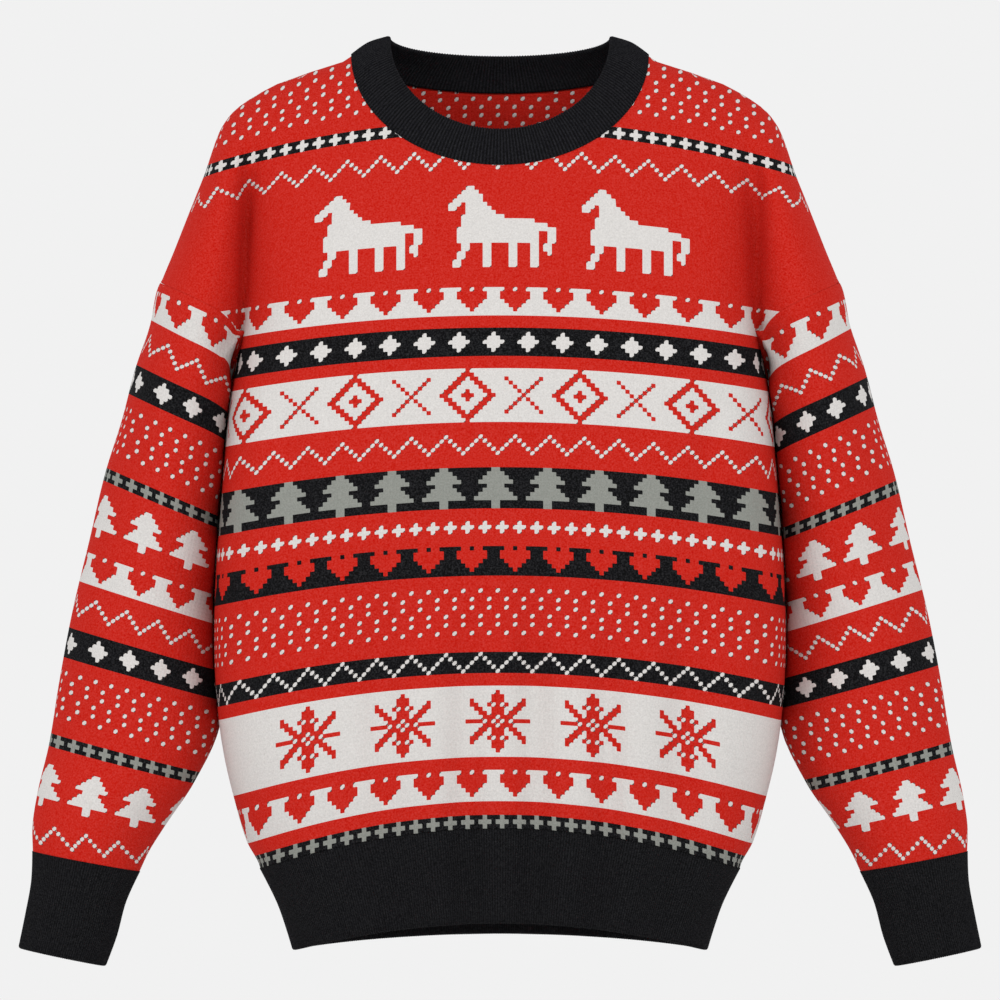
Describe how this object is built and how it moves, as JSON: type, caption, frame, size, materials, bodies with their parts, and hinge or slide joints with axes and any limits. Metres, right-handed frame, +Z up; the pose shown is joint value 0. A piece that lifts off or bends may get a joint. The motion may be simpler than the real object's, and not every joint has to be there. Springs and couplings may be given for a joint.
{
  "type": "christmas sweater",
  "caption": "Loose drop-shoulder crew-neck knitted Christmas sweater with ribbed neck, cuffs and hem, in a hollow worn form.",
  "frame": {"origin": "middle of the neck opening at the height of the shoulder points, where the wearer's neck and shoulders hold the garment up", "axes": "+Z up, -Y to the front of the garment, +X to the wearer's left across the sleeves"},
  "size_m": [0.7384, 0.2403, 0.7124],
  "materials": {
    "patterned_knit": "red jacquard knit with white, black and grey Fair Isle bands, soft matt yarn",
    "rib_knit": "black rib knit, matt"
  },
  "bodies": {
    "root": {"front_panel": "patterned_knit", "back_panel": "patterned_knit", "sleeve_left": "patterned_knit", "sleeve_right": "patterned_knit", "neck_rib": "rib_knit", "hem_rib": "rib_knit", "cuff_left": "rib_knit", "cuff_right": "rib_knit"}
  },
  "joints": []
}
